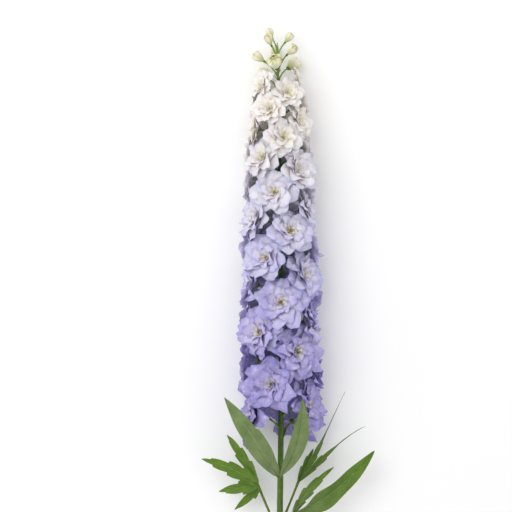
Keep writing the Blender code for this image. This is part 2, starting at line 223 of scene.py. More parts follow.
def joined(parts):
    """Puts several (points, faces, values) together as one, with the faces renumbered."""
    points, faces, values, start = [], [], [], 0
    for some_points, some_faces, some_values in parts:
        points.append(some_points)
        faces += [block + start for block in some_faces]
        values.append(some_values)
        start += len(some_points)
    return np.concatenate(points), faces, np.concatenate(values)


def shells(grid, thickness):
    """Closes each sheet of a (sheets, across, along) grid of points into a thin lens.

    Front and back stand half the thickness off the sheet along its normal, the cross of its two
    differences, and share the sheet's rim. Returns points, quads, and each point's sheet cell.
    """
    sheets, m, n = grid.shape[:3]
    normal = unit(np.cross(np.gradient(grid, axis=1), np.gradient(grid, axis=2)))
    inside = np.zeros((m, n), bool)
    inside[1:-1, 1:-1] = True
    front = grid + normal * (inside * thickness / 2)[None, :, :, None]
    back = (grid - normal * thickness / 2)[:, inside]
    points = np.concatenate([front.reshape(sheets, m * n, 3), back], 1)
    here = np.arange(m * n).reshape(m, n)
    behind = here.copy()
    behind[inside] = m * n + np.arange(inside.sum())
    fore, back = (
        np.stack([side[:-1, :-1], side[1:, :-1], side[1:, 1:], side[:-1, 1:]], -1).reshape(-1, 4)
        for side in (here, behind)
    )
    quads = np.concatenate([fore, back[:, [0, 3, 2, 1]]])
    starts = np.arange(sheets)[:, None, None] * points.shape[1]
    cell = np.concatenate([here.ravel(), here[inside]])
    return points.reshape(-1, 3), [(quads + starts).reshape(-1, 4)], cell


SHARP_ANGLE = 60


def piece(name, points, faces, looks, materials, attributes, flat=None):
    """Writes arrays into a mesh object that rides on the spike.

    Faces are blocks of triangles or quads, looks gives each block's material, attributes are
    four numbers a point by name, and flat is a place in millimetres for each point's UV.
    """
    mesh = bpy.data.meshes.new(name)
    sizes = np.concatenate([np.full(len(block), block.shape[1]) for block in faces])
    worn = np.concatenate([np.full(len(block), look) for block, look in zip(faces, looks)])
    corners = np.concatenate([block.ravel() for block in faces]).astype(np.int32)
    mesh.vertices.add(len(points))
    mesh.vertices.foreach_set("co", points.astype(np.float32).ravel())
    mesh.loops.add(len(corners))
    mesh.loops.foreach_set("vertex_index", corners)
    mesh.polygons.add(len(sizes))
    mesh.polygons.foreach_set("loop_start", (np.cumsum(sizes) - sizes).astype(np.int32))
    mesh.polygons.foreach_set("use_smooth", np.ones(len(sizes), bool))
    for material in materials:
        mesh.materials.append(material)
    mesh.polygons.foreach_set("material_index", worn.astype(np.int32))
    mesh.update(calc_edges=True)
    for key, values in attributes.items():
        stored = mesh.attributes.new(key, "FLOAT_COLOR", "POINT")
        stored.data.foreach_set("color", values.astype(np.float32).ravel())
    if flat is not None:
        stored = mesh.uv_layers.new(name="flat")
        stored.data.foreach_set("uv", flat[corners].astype(np.float32).ravel())
    mesh.set_sharp_from_angle(angle=math.radians(SHARP_ANGLE))
    made = bpy.data.objects.new(name, mesh)
    bpy.context.scene.collection.objects.link(made)
    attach(made, "root")
    return made


def colour(code):
    """An sRGB hex code as linear light."""
    part = np.array([int(code[i:i + 2], 16) / 255 for i in (1, 3, 5)])
    linear = np.where(part <= 0.04045, part / 12.92, ((part + 0.055) / 1.055) ** 2.4)
    return (*linear, 1.0)


# A Mix node has a set of sockets for each kind of data, and these are a colour's
UNDER = 6
OVER = 7
MIXED = 2


def node(tree, kind, inputs=(), stops=(), **settings):
    """Adds a node and returns its outputs.

    Settings are the node's own properties. Inputs are values, hex codes or other nodes' outputs,
    by the names of their sockets or in the sockets' order, and stops are the (place, hex code)
    pairs of a colour ramp.
    """
    made = tree.nodes.new("ShaderNode" + kind)
    for key, value in settings.items():
        setattr(made, key, value)
    for key, value in inputs.items() if isinstance(inputs, dict) else enumerate(inputs):
        if isinstance(value, bpy.types.NodeSocket):
            tree.links.new(value, made.inputs[key])
        else:
            made.inputs[key].default_value = colour(value) if isinstance(value, str) else value
    if stops:
        elements = made.color_ramp.elements
        while len(elements) < len(stops):
            elements.new(0.5)
        for element, (place, code) in zip(elements, stops):
            element.position = place
            element.color = colour(code)
    return made.outputs


def substance(name, paint=None, **constants):
    """A material: constants sit on the shader's own sockets, and paint adds the nodes.

    Paint is a function that is handed what adds a node. It returns the ground colour, the coats
    laid over it in turn, each a colour, its cover and its way of mixing, and what bumps it.
    """
    made = bpy.data.materials.new(name)
    made.use_nodes = True
    tree = made.node_tree
    sockets = tree.nodes["Principled BSDF"].inputs
    for key, value in constants.items():
        sockets[key.replace("_", " ")].default_value = value
    if paint:
        skin, coats, bumps = paint(functools.partial(node, tree))
        for code, cover, way in coats:
            coat = {"Factor": cover, UNDER: skin, OVER: code}
            skin = node(tree, "Mix", coat, data_type="RGBA", blend_type=way)[MIXED]
        tree.links.new(skin, sockets["Base Color"])
        for height, strength, depth in bumps:
            bump = {"Height": height, "Strength": strength, "Distance": depth}
            if sockets["Normal"].is_linked:
                bump["Normal"] = sockets["Normal"].links[0].from_socket
            tree.links.new(node(tree, "Bump", bump)["Normal"], sockets["Normal"])
    return made


def stem_skin(add):
    """Living stem: waxy green skin that pales towards the tip and out along the flower stalks.

    It is mottled over 6 mm, and streaked lengthwise by pale fibres 2 mm apart and by fine ridges
    1.4 mm apart. Where it is cut, the bare pith shows a dull white green.
    """
    facts = add("Attribute", attribute_name="growth")["Color"]
    height, stalk, pith = add("SeparateColor", (facts,))
    place = add("TexCoord")["Object"]
    drawn = add("Mapping", {"Vector": place, "Scale": (1.0, 0.06, 1.0)})["Vector"]
    mottle, fibre, streak = (
        add("TexNoise", {"Vector": spot, "Scale": scale, "Detail": detail})["Fac"]
        for spot, scale, detail in [(place, 160.0, 3.0), (drawn, 450.0, 2.0), (drawn, 700.0, 2.0)]
    )
    light = add("MapRange", (fibre, 0.5, 0.75, 0.0, 0.28))["Result"]
    greens = [(0.0, "#577a0c"), (0.45, "#487008"), (0.75, "#608426"), (1.0, "#8aa84e")]
    return add("ValToRGB", (height,), greens)["Color"], [
        ("#8fa564", stalk, "MIX"), ("#3f5c2a", mottle, "SOFT_LIGHT"),
        ("#a9c06a", light, "MIX"), ("#dfe3c4", pith, "MIX"),
    ], [(streak, 0.5, 0.0003)]


stem_green = substance(
    "living stem skin", stem_skin, Roughness=0.5, Specular_IOR_Level=0.35, Subsurface_Weight=0.08,
)


def growth(heights, out=0.0):
    """The stem's colour facts: height up the spike, how far out on a stalk, and no bare pith."""
    full = np.ones_like(heights)
    return np.stack([heights, full * out, full * 0, full], -1)


def build_stem():
    """The stalk is swept from its cut rim up to the tip, and a hollow of pith goes down the cut.

    The first rings are the pith's, from the bottom of the hollow up to the rim.
    """
    y = np.linspace(0, STEM_END, STEM_RINGS)
    radii = stem_radius(y)
    radii[0] *= RIM_SHARE
    radii[-4:] *= TIP_SHARES
    run = unit(stem_point(0.001) - stem_point(0.0))
    side = unit(np.cross(run, [0.0, 0.0, 1.0]))
    outer, _, _ = swept(stem_point(y), radii, STEM_SIDES, side, STEM_RIBS, RIB_HEIGHT)
    angle = np.linspace(0, 2 * np.pi, STEM_SIDES, endpoint=False)[:, None]
    ring = side * np.cos(angle) + np.cross(run, side) * np.sin(angle)
    middles = stem_point(PITH_DEPTHS)
    pith = middles[:, None] + ring * (stem_radius(0.0) * np.array(PITH_SHARES))[:, None, None]
    points = np.concatenate([pith.reshape(-1, 3), outer[:-2], middles[:1], outer[-1:]])
    depths = np.zeros(len(PITH_DEPTHS))
    heights = np.concatenate([depths, y / SPIKE_LENGTH]).repeat(STEM_SIDES)
    facts = growth(np.concatenate([heights, [0.0, 1.0]]))
    facts[:len(depths) * STEM_SIDES, 2] = 1.0
    facts[-2, 2] = 1.0
    return points, tube_faces(len(depths) + STEM_RINGS, STEM_SIDES), facts


SEAT_GAP = 0.0003
STALK_RADIUS = 0.00125
STALK_SIDES = 8
STALK_PLACES = np.array([0.04, 0.09, 0.15, 0.24, 0.36, 0.5, 0.64, 0.78, 0.88, 0.95, 1.0])
STALK_GREEN = 0.7


def stalk_path(bloom):
    """The four points that draw the curve of a flower stalk."""
    foot = stem_point(bloom.y)
    end = bloom.seat - bloom.facing * SEAT_GAP
    leave = foot + bloom.along * bloom.rise * 0.55 + bloom.out * bloom.reach * 0.35
    return foot, leave, end - bloom.facing * bloom.reach * 0.35, end


def flower_stalk(bloom):
    """A stalk leaves the stem upward on a collar and turns out to meet the back of its bloom.

    Its radius is 0.9 of a stalk's, and a bell curve more at each end: the collar and a cushion.
    """
    u = STALK_PLACES
    collar = 1.1 * np.exp(-((u / 0.12) ** 2))
    cushion = 0.55 * np.exp(-(((1 - u) / 0.07) ** 2))
    radii = STALK_RADIUS * (0.9 + collar + cushion)
    points, faces, share = swept(bezier(stalk_path(bloom), u), radii, STALK_SIDES, bloom.across)
    return points, faces, growth(np.full(len(points), bloom.y), STALK_GREEN * share)


# Bracts: lengths and half widths, where a pair goes from the lowest bloom to the highest
LONG_BRACTS = (0, 1, 2, 3, 6, 9)
LONG_SIZE = (0.040, 0.0036)
BRACT_LENGTH = (0.026, 0.013)
BRACT_HALF = (0.0024, 0.0012)
BRACT_DROP = 0.006
NECK_LENGTH = (0.009, 0.0065)
NECK_HALF = 0.0006
NECK_PLACES = ((1, 0.52), (-1, 0.66))
BRACT_SHELL = 0.0005


def bract(bloom, foot, out, along, length, half, curl):
    """A narrow leaf at the foot of a stalk, or one of the pair on its neck.

    Its midline goes out by 0.55 (s - curl s^3) of its length and up by 0.75 s - 0.15 s^2. Its half
    width is a lance, sin(pi s^0.7)^0.8, and its sides fold up by half of the width.
    """
    s = np.linspace(0, 1, 9)[None, :, None]
    u = np.linspace(-1, 1, 5)[:, None, None]
    lance = np.maximum(np.sin(np.pi * s ** 0.7), 0.02) ** 0.8
    side = unit(np.cross(along, out))
    middle = foot + out * length * 0.55 * (s - curl * s ** 3) + along * length * (0.75 * s - 0.15 * s * s)
    lift = unit(out * 0.8 - along * 0.6)
    sheet = middle + side * u * half * np.maximum(lance, 0.12) - lift * np.abs(u) * half * lance * 0.5
    points, faces, cell = shells(sheet[None], BRACT_SHELL)
    paleness = (0.25 + 0.5 * (s + 0 * u)).ravel()[cell]
    return points, faces, growth(np.full(len(points), bloom.y), paleness)


def bracts_of(bloom):
    """A bract under the stalk, shorter up the spike, and two tiny ones on the stalk's neck.

    Some of the lowest blooms have a bract as long as a young leaf.
    """
    u = bloom.order / len(blooms)
    length, half = mix(*BRACT_LENGTH, u), mix(*BRACT_HALF, min(1.0, 1.3 * u))
    if bloom.order in LONG_BRACTS:
        length, half = LONG_SIZE
    foot = stem_point(bloom.y - BRACT_DROP)
    grown = [bract(bloom, foot, bloom.out, bloom.along, length, half, 0.1)]
    path = stalk_path(bloom)
    for side, share in NECK_PLACES:
        foot = bezier(path, share)
        run = unit(bezier(path, share + 0.05) - foot)
        out = unit(bloom.across * side + bloom.upward * 0.3)
        grown.append(bract(bloom, foot, out, run, mix(*NECK_LENGTH, u), NECK_HALF, 0.5))
    return grown


grown = [build_stem()] + [flower_stalk(bloom) for bloom in blooms]
for bloom in blooms:
    grown += bracts_of(bloom)
points, faces, facts = joined(grown)
points[:, 2] = np.maximum(points[:, 2], STEM_CLEARANCE)
looks = [0] * len(faces)
stem = piece("stem_skin", points, faces, looks, [stem_green], {"growth": facts})
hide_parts("stem")


# The leaves: hand-shaped, cut nearly to the palm into lance lobes with coarse teeth, on long
# channelled stalks that sheathe the stem. The blade is thin and matt, with sunk veins, and the
# leaf in front is the greyest.
LEAF_SHELL = 0.0006
CEILING = 0.1138
CEILING_SPAN = 0.008
LOBE_CLAW = 0.16
TOOTH_DEPTH = 0.36
RIPPLE = 0.13
GROOVE_DEPTH = 0.00045
GROOVE_WIDTH = 0.07
VEIN_SLANT = 3.0
STALK_STATIONS = (0.0, 0.35, 0.7, 1.0)
STALK_RADII = (0.0019, 0.0016, 0.0016, 0.0020)
STALK_RINGS = 26
STALK_SECTION = 12
CHANNELS = 2
CHANNEL_DEPTH = 0.14
SHEATH = 0.009
PALM_DEPTH = 0.004
CLEARANCE = 0.0002


def under_ceiling(heights):
    """In the last 8 mm under the height of the whole spike, heights near it exponentially."""
    over = np.maximum(heights - (CEILING - CEILING_SPAN), 0)
    return heights - over + CEILING_SPAN * (1 - np.exp(-over / CEILING_SPAN))


def lobe_sheet(
    palm, rng, normal, pull, tip, half, teeth=0.0, spacing=0.03, thread=0.0, twist=0.0,
    fold=0.22, hook=0.0, full=0.8, early=0.75, wavy=1.0, across=17, along=65,
):
    """One lobe of a leaf: a sheet bent along the quadratic curve from palm by pull to tip.

    Its half width is half * sin(pi s^early)^full, less the share thread past 0.35, and cut back
    by a saw of teeth that lean to the tip. The sides rise from the midrib by fold (|u|^0.9 - 0.5)
    of the width, ripple towards the rim by wavy, and sway with the whole blade. The sheet turns
    about the midrib by twist (s - 0.5) radians, and the midline is drawn aside by hook * length *
    s^4. Columns crowd towards the midrib (u = t |t|^0.5), which is sunk by a narrow groove.
    Returns the sheet, s, |u|, and flat places in which the side veins lean to the tip.
    """
    s = np.linspace(0, 1, along)[None, :, None]
    t = np.linspace(-1, 1, across)[:, None, None]
    u = t * np.abs(t) ** 0.5
    v = 1 - s
    run = unit((pull - palm) * v + (tip - pull) * s)
    side = unit(np.cross(run, normal))
    over = np.cross(side, run)
    length = np.linalg.norm(tip - palm)
    middle = palm * v * v + pull * 2 * v * s + tip * s * s + side * hook * length * s ** 4
    turn = twist * (s - 0.5)
    side, over = side * np.cos(turn) + over * np.sin(turn), over * np.cos(turn) - side * np.sin(turn)
    narrowed = 1 - thread * smooth((s - 0.35) / 0.3)
    lance = np.maximum(np.sin(np.pi * s ** early), 0.0) ** full * narrowed
    saw = (s * length / spacing + 0.43 * np.sign(u) + 0.2) % 1.0
    cut = teeth * TOOTH_DEPTH * (1 - saw) ** 1.4 * smooth(s / 0.3) * smooth((1 - s) / 0.12)
    wide = half * np.maximum(lance, LOBE_CLAW * v) * (1 - cut * u ** 2)
    phase = rng.uniform(0, 6)
    ripple = RIPPLE * wavy * np.sin(rng.uniform(9, 13) * s + np.sign(u) * 1.4 + phase) * u ** 2
    sway = 0.05 * np.sin(rng.uniform(4, 6) * s + phase) + 0.03 * np.sin(15 * s + 3 * u + phase)
    bend = fold * (np.abs(u) ** 0.9 - 0.5) + ripple * smooth(s / 0.3) + sway * smooth(s / 0.2)
    groove = GROOVE_DEPTH * np.exp(-((u / GROOVE_WIDTH) ** 2)) * v
    sheet = middle + side * wide * u + over * (wide * bend - groove)
    slant = VEIN_SLANT * np.abs(u * wide) * (1 + 0.5 * np.abs(u))
    flat = np.concatenate([s * length - slant, u * wide], -1) * 1000
    return sheet, s + 0 * u, np.abs(u) + 0 * s, flat


def leaf_tissue(add):
    """Green blade: paler under the skin, with sunk pale veins and a dull, faintly waxy face.

    Side veins are 13 mm apart and the net between them 1.3 mm. Clouds of 17 mm darken it, and it
    has brown specks 1.6 mm apart and dry tips.
    """
    facts = add("Attribute", attribute_name="leaf")
    grey, along, across = add("SeparateColor", (facts["Color"],))
    place = add("TexCoord")["Object"]
    flat = add("UVMap", uv_map="flat")["UV"]
    upper = [(0.0, "#6a8e18"), (0.5, "#6c8738"), (1.0, "#859468")]
    lower = [(0.0, "#7f9560"), (1.0, "#97a382")]
    face, back = (add("ValToRGB", (grey,), stops)["Color"] for stops in (upper, lower))
    cloud, grit = (
        add("TexNoise", {"Vector": place, "Scale": scale, "Detail": detail})["Fac"]
        for scale, detail in [(60.0, 4.0), (620.0, 1.0)]
    )
    strands = {"Vector": flat, "Scale": 0.024, "Distortion": 1.6, "Detail": 2.0, "Detail Scale": 0.12}
    sides = add("TexWave", strands)["Fac"]
    side_vein, rib, dry, inward, speck = (
        add("MapRange", row, interpolation_type=easing)["Result"] for easing, *row in [
            ("SMOOTHSTEP", sides, 0.90, 1.0, 0.0, 1.0),
            ("SMOOTHSTEP", across, 0.035, 0.11, 1.0, 0.0),
            ("SMOOTHSTEP", along, 0.95, 1.0, 0.0, 0.8),
            ("LINEAR", across, 0.3, 1.0, 0.8, 0.1),
            ("LINEAR", grit, 0.73, 0.80, 0.0, 0.7),
        ]
    )
    net = {"Vector": flat, "Scale": 0.75}
    vein, relief = side_vein, add("TexVoronoi", net, feature="DISTANCE_TO_EDGE")["Distance"]
    for value, operation in [(inward, "MULTIPLY"), (rib, "MAXIMUM"), (0.24, "MULTIPLY")]:
        vein = add("Math", (vein, value), operation=operation)["Value"]
    for value, operation in [(0.4, "MULTIPLY"), (sides, "SUBTRACT"), (rib, "SUBTRACT")]:
        relief = add("Math", (relief, value), operation=operation)["Value"]
    return back, [
        (face, facts["Alpha"], "MIX"), ("#4a5a30", cloud, "SOFT_LIGHT"),
        ("#a3b284", vein, "MIX"), ("#5a5430", speck, "MIX"), ("#6d5a34", dry, "MIX"),
    ], [(relief, 0.5, 0.0005)]


leaf_green = substance(
    "delphinium leaf blade", leaf_tissue, Roughness=0.58, Specular_IOR_Level=0.3,
    Subsurface_Weight=0.12, Subsurface_Scale=0.0012, Subsurface_Radius=(0.6, 1.0, 0.3),
)


def build_leaf(name, seed, y, turn, palm, swell, normal, grey, lobes):
    """A leaf as its channelled stalk and its lobes, which start inside the stalk's end.

    The stalk is a cubic curve from the stem at y to the palm, and widens in its first tenth into
    a sheath sunk in the stem. Grey goes from the palm to the tips of the lobes.
    """
    rng = np.random.default_rng(seed)
    along, out = stem_frame(y, turn)
    radius = float(stem_radius(y))
    foot = stem_point(y) + out * (radius + SEAT_GAP + STALK_RADII[0])
    palm = np.array(palm) + FOOT
    leave = foot + along * swell + out * swell * 0.5
    u = np.linspace(0, 1, STALK_RINGS)
    path = bezier((foot, leave, mix(palm, leave, 0.4), palm), u)
    sheath = np.exp(-((u / 0.10) ** 2))[:, None]
    sunk = out * (radius * 0.75 + STALK_RADII[0]) + along * SHEATH * (1 - u[:, None])
    path = path - sheath * sunk
    radii = np.interp(u, STALK_STATIONS, STALK_RADII) * (1 + 0.55 * sheath[:, 0])
    points, faces, _ = swept(path, radii, STALK_SECTION, out, CHANNELS, CHANNEL_DEPTH)
    stalk = growth(np.full(len(points), 0.1))
    parts = [(points, faces, np.concatenate([stalk, np.zeros((len(points), 6))], 1))]
    looks = [1] * len(faces)
    inside = palm + unit(path[-2] - path[-1]) * PALM_DEPTH
    for pull, tip, half, ways in lobes:
        pull, tip = np.array(pull) + FOOT, np.array(tip) + FOOT
        sheet, s, side, flat = lobe_sheet(inside, rng, np.array(normal), pull, tip, half, **ways)
        points, faces, cell = shells(sheet[None], LEAF_SHELL)
        s, side = s.ravel()[cell], side.ravel()[cell]
        front = np.arange(len(points)) < sheet.size // 3
        facts = np.stack([mix(*grey, s), s, side, front], 1)
        values = [np.zeros((len(points), 4)), facts, flat.reshape(-1, 2)[cell]]
        parts.append((points, faces, np.concatenate(values, 1)))
        looks += [0] * len(faces)
    points, faces, values = joined(parts)
    points[:, 2] = under_ceiling(np.maximum(points[:, 2], CLEARANCE))
    made = piece(
        name + "_blade", points, faces, looks, [leaf_green, stem_green],
        {"growth": values[:, :4], "leaf": values[:, 4:8]}, values[:, 8:],
    )
    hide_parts(name)


COARSE = dict(teeth=1.0, spacing=0.024)
build_leaf(
    "leaf_front", 11, y=0.262, turn=0.0, palm=(0.002, 0.322, 0.074), swell=0.016,
    normal=(0.0, -0.25, 0.97), grey=(1.0, 0.85), lobes=[
        ((-0.024, 0.368, 0.124), (-0.078, 0.440, 0.100), 0.0165,
         dict(teeth=0.5, spacing=0.066, twist=0.6, full=0.80, early=0.98)),
        ((0.030, 0.360, 0.122), (0.052, 0.437, 0.110), 0.0124,
         dict(twist=-1.0, hook=-0.13, fold=0.42, full=0.80, early=1.2)),
    ],
)
build_leaf(
    "leaf_right", 12, y=0.232, turn=1.3, palm=(0.026, 0.262, 0.050), swell=0.010,
    normal=(0.2, -0.2, 0.95), grey=(0.85, 0.1), lobes=[
        ((0.080, 0.276, 0.060), (0.148, 0.352, 0.036), 0.0150,
         dict(twist=1.1, fold=0.45, full=0.72, early=0.85, wavy=2.2)),
        ((0.040, 0.298, 0.066), (0.086, 0.330, 0.050), 0.0090,
         dict(teeth=0.9, spacing=0.021, twist=0.4)),
    ],
)
build_leaf(
    "leaf_left", 13, y=0.240, turn=-1.3, palm=(-0.030, 0.305, 0.046), swell=0.012,
    normal=(-0.2, 0.0, 0.98), grey=(0.3, 0.0), lobes=[
        ((-0.060, 0.330, 0.058), (-0.114, 0.340, 0.040), 0.0128, dict(twist=0.4, **COARSE)),
        ((-0.050, 0.350, 0.056), (-0.078, 0.372, 0.034), 0.0098, dict(twist=-0.6, hook=0.05, **COARSE)),
        ((-0.050, 0.300, 0.052), (-0.088, 0.290, 0.036), 0.0112, dict(twist=0.5, **COARSE)),
        ((-0.030, 0.290, 0.040), (-0.066, 0.262, 0.024), 0.0092, dict(twist=0.3, hook=-0.05, **COARSE)),
    ],
)
build_leaf(
    "leaf_wisp", 14, y=0.250, turn=2.0, palm=(0.034, 0.308, 0.034), swell=0.012,
    normal=(0.1, 0.0, 0.99), grey=(0.5, 0.3), lobes=[
        ((0.068, 0.350, 0.030), (0.094, 0.446, 0.050), 0.0052,
         dict(thread=0.80, twist=1.2, hook=0.06, **COARSE)),
        ((0.080, 0.348, 0.034), (0.124, 0.398, 0.026), 0.0056,
         dict(thread=0.76, twist=-1.2, hook=0.12, **COARSE)),
        ((0.046, 0.330, 0.026), (0.056, 0.352, 0.018), 0.0074, dict(teeth=1.0, spacing=0.018)),
    ],
)


# The open florets: double flowers of soft, matt petal tissue a third of a millimetre thick, grown
# on a green seat. Broad frilled sepals open flat behind, two shorter rings of petals stand inside
# them, and small petals and still smaller bee petals cup the stamens in the middle.
SHELL = 0.00034
FLORET_SEED = 700
RIPE_BELOW = 0.78
SCALLOP = 0.028
LEAN = 0.24
KEEL_DEPTH = 0.10
KEEL_WIDTH = 0.16
OLD_FRILL = (0.62, 1.45)
CROWN_HEIGHTS = (0.0, 0.03, 0.075, 0.12, 0.15)
CROWN_RADII = (0.05, 0.105, 0.115, 0.095, 0.045)
CROWN_SIDES = 12
CROWN_AGE = 0.12
STAMENS = 18
THREAD_RADIUS = 0.00022
ANTHER_LONG = 0.00105
ANTHER_WIDE = 0.00062
ANTHER_SWELL = (1.0, 1.7)

# A column each for the sepals, the two rings of petals, the small petals and the bee petals. Sizes
# are shares of the floret's radius, root is a radius and a height, and pitch is in degrees. Aged is
# the share of the floret's age that a layer shows, and crowd the petals that it gains when old.
LAYERS = dict(
    count=(6, 6, 6, 5, 4),
    across=(23, 21, 17, 13, 9),
    along=(11, 11, 10, 8, 7),
    turn=(0.0, 0.5, 0.2, 0.6, 0.1),
    length=(1.08, 0.97, 0.70, 0.44, 0.27),
    width=(0.48, 0.42, 0.32, 0.20, 0.095),
    claw=(0.24, 0.22, 0.25, 0.30, 0.35),
    point=(0.02, 0.0, -0.01, -0.04, -0.08),
    root=((0.08, 0.05), (0.07, 0.08), (0.06, 0.11), (0.06, 0.12), (0.05, 0.13)),
    pitch=((36, -12), (50, -2), (64, 12), (70, 26), (82, 40)),
    curl=(0.05, 0.03, 0.02, 0.0, 0.0),
    frill=(0.070, 0.074, 0.054, 0.022, 0.008),
    crimp=(0.36, 0.32, 0.12, 0.0, 0.0),
    cup=(0.04, 0.08, 0.16, 0.30, 0.5),
    round=(0.25, 0.27, 0.32, 0.40, 0.45),
    ripe=(1.0, 0.9, 0.62, 0.42, 0.3),
    aged=(1.0, 1.0, 1.0, 0.8, 0.35),
    crowd=(1, 2, 1, 0, 0),
)


def petal_tissue(add):
    """A film of pale cells, lit from within: white when young, and lavender with sap when old.

    It is cream at the claw, deeper at the rim and along veins 1.4 mm apart, and green along the
    keel outside. Its tint drifts over 6 mm, fades in patches of 11 mm, and it creases over 2 mm.
    """
    facts = add("Attribute", attribute_name="bloom")
    age, along, rim = add("SeparateColor", (facts["Color"],))
    flat = add("UVMap", uv_map="flat")["UV"]
    blade, margin, claw, blush, back = (
        add("ValToRGB", (age,), stops)["Color"] for stops in [
            [(0.0, "#fdf1e4"), (0.28, "#eee4e8"), (0.55, "#d2c9e7"), (0.8, "#b8aedc"), (1.0, "#ada3d7")],
            [(0.0, "#ebe5ec"), (0.25, "#cccfeb"), (0.55, "#adafe4"), (0.8, "#9892d4"), (1.0, "#918ace")],
            [(0.0, "#d2ca66"), (0.35, "#cfc57c"), (0.7, "#bfb08e"), (1.0, "#ad9aa6")],
            [(0.0, "#f7ecc6"), (0.3, "#f6eae2"), (0.6, "#ecdfe9"), (0.85, "#cfc2e3"), (1.0, "#c0b4de")],
            [(0.0, "#f3ecdc"), (0.28, "#dfd7e4"), (0.55, "#bdb6de"), (0.8, "#a098d2"), (1.0, "#8980c4")],
        ]
    )
    drift, faded, crepe = (
        add("TexNoise", {"Vector": flat, "Scale": scale, "Detail": detail})["Fac"]
        for scale, detail in [(0.16, 2.0), (0.09, 3.0), (0.45, 3.0)]
    )
    strands = {"Vector": flat, "Scale": 0.22, "Distortion": 5.0, "Detail": 3.0, "Detail Scale": 0.22}
    veins = add("TexWave", strands)["Fac"]
    reach, edge, inward, keel, foot, uneven, patch, line = (
        add("MapRange", row, interpolation_type=easing)["Result"] for easing, *row in [
            ("SMOOTHSTEP", along, 0.02, 0.36, 0.0, 1.0),
            ("SMOOTHSTEP", rim, 0.15, 1.05, 0.0, 1.0),
            ("SMOOTHSTEP", along, 0.25, 0.85, 0.75, 0.0),
            ("SMOOTHSTEP", rim, 0.0, 0.10, 0.65, 0.0),
            ("SMOOTHSTEP", along, 0.15, 0.85, 1.0, 0.12),
            ("LINEAR", drift, 0.35, 0.7, 0.0, 0.30),
            ("LINEAR", faded, 0.54, 0.72, 0.0, 0.42),
            ("LINEAR", veins, 0.80, 1.0, 0.0, 0.10),
        ]
    )
    keel = add("Math", (keel, foot), operation="MULTIPLY")["Value"]
    line = add("Math", (line, age), operation="MULTIPLY")["Value"]
    blade = add("Mix", {"Factor": inward, UNDER: blade, OVER: blush}, data_type="RGBA")[MIXED]
    face = add("Mix", {"Factor": reach, UNDER: claw, OVER: blade}, data_type="RGBA")[MIXED]
    face = add("Mix", {"Factor": edge, UNDER: face, OVER: margin}, data_type="RGBA")[MIXED]
    return back, [
        ("#8c9a62", keel, "MIX"), (face, facts["Alpha"], "MIX"), (margin, uneven, "MIX"),
        ("#ece4ee", patch, "MIX"), ("#8f8bc8", line, "MULTIPLY"),
    ], [(crepe, 0.35, 0.0011), (veins, 0.12, 0.0002)]


def anther_dust(add):
    """Anther: dull grains of pollen, straw yellow in a young bloom and brown in an old one.

    Real pollen is far too fine to show, so its clumps are drawn 2.4 mm across.
    """
    place = add("TexCoord")["Object"]
    dust = add("TexNoise", {"Vector": place, "Scale": 420.0, "Detail": 2.0})["Fac"]
    fresh, spent = (
        add("ValToRGB", (dust,), stops)["Color"] for stops in [
            [(0.3, "#a8903c"), (0.5, "#cdb757"), (0.7, "#e6da8c")],
            [(0.3, "#3d2c17"), (0.5, "#6b4f24"), (0.7, "#a08040")],
        ]
    )
    facts = add("Attribute", attribute_name="bloom")["Color"]
    age = add("SeparateColor", (facts,))["Red"]
    return fresh, [(spent, age, "MIX")], []


petal = substance(
    "delphinium petal tissue", petal_tissue, Roughness=0.62, Specular_IOR_Level=0.25,
    Subsurface_Weight=0.5, Subsurface_Scale=0.0022, Subsurface_Radius=(1.0, 0.86, 0.92),
    Sheen_Weight=0.12, Sheen_Roughness=0.4,
)
# Stamen threads are fine, smooth and a pale green that lets some light through
thread = substance(
    "stamen threads", Roughness=0.6, Base_Color=colour("#e6e3b8"),
    Subsurface_Weight=0.2, Subsurface_Scale=0.001,
)
pollen = substance("anthers with pollen", anther_dust, Roughness=0.85)


def age_of(order):
    """1 in the lowest floret, and falling evenly to 0 at about four fifths of the florets."""
    return float(np.clip(1.02 - order / (FLORETS * RIPE_BELOW), 0.0, 1.0))


def ripened(layer, age):
    """The layer in an old floret: crowded by one or two more petals, each narrower and pointed."""
    old = float(smooth((age - 0.45) / 0.35))
    more = round(old * layer["crowd"])
    narrower = layer["width"] * (1 - 0.08 * old * (layer["crowd"] > 0))
    return dict(layer, count=layer["count"] + more, width=narrower, point=layer["point"] + 0.07 * old)


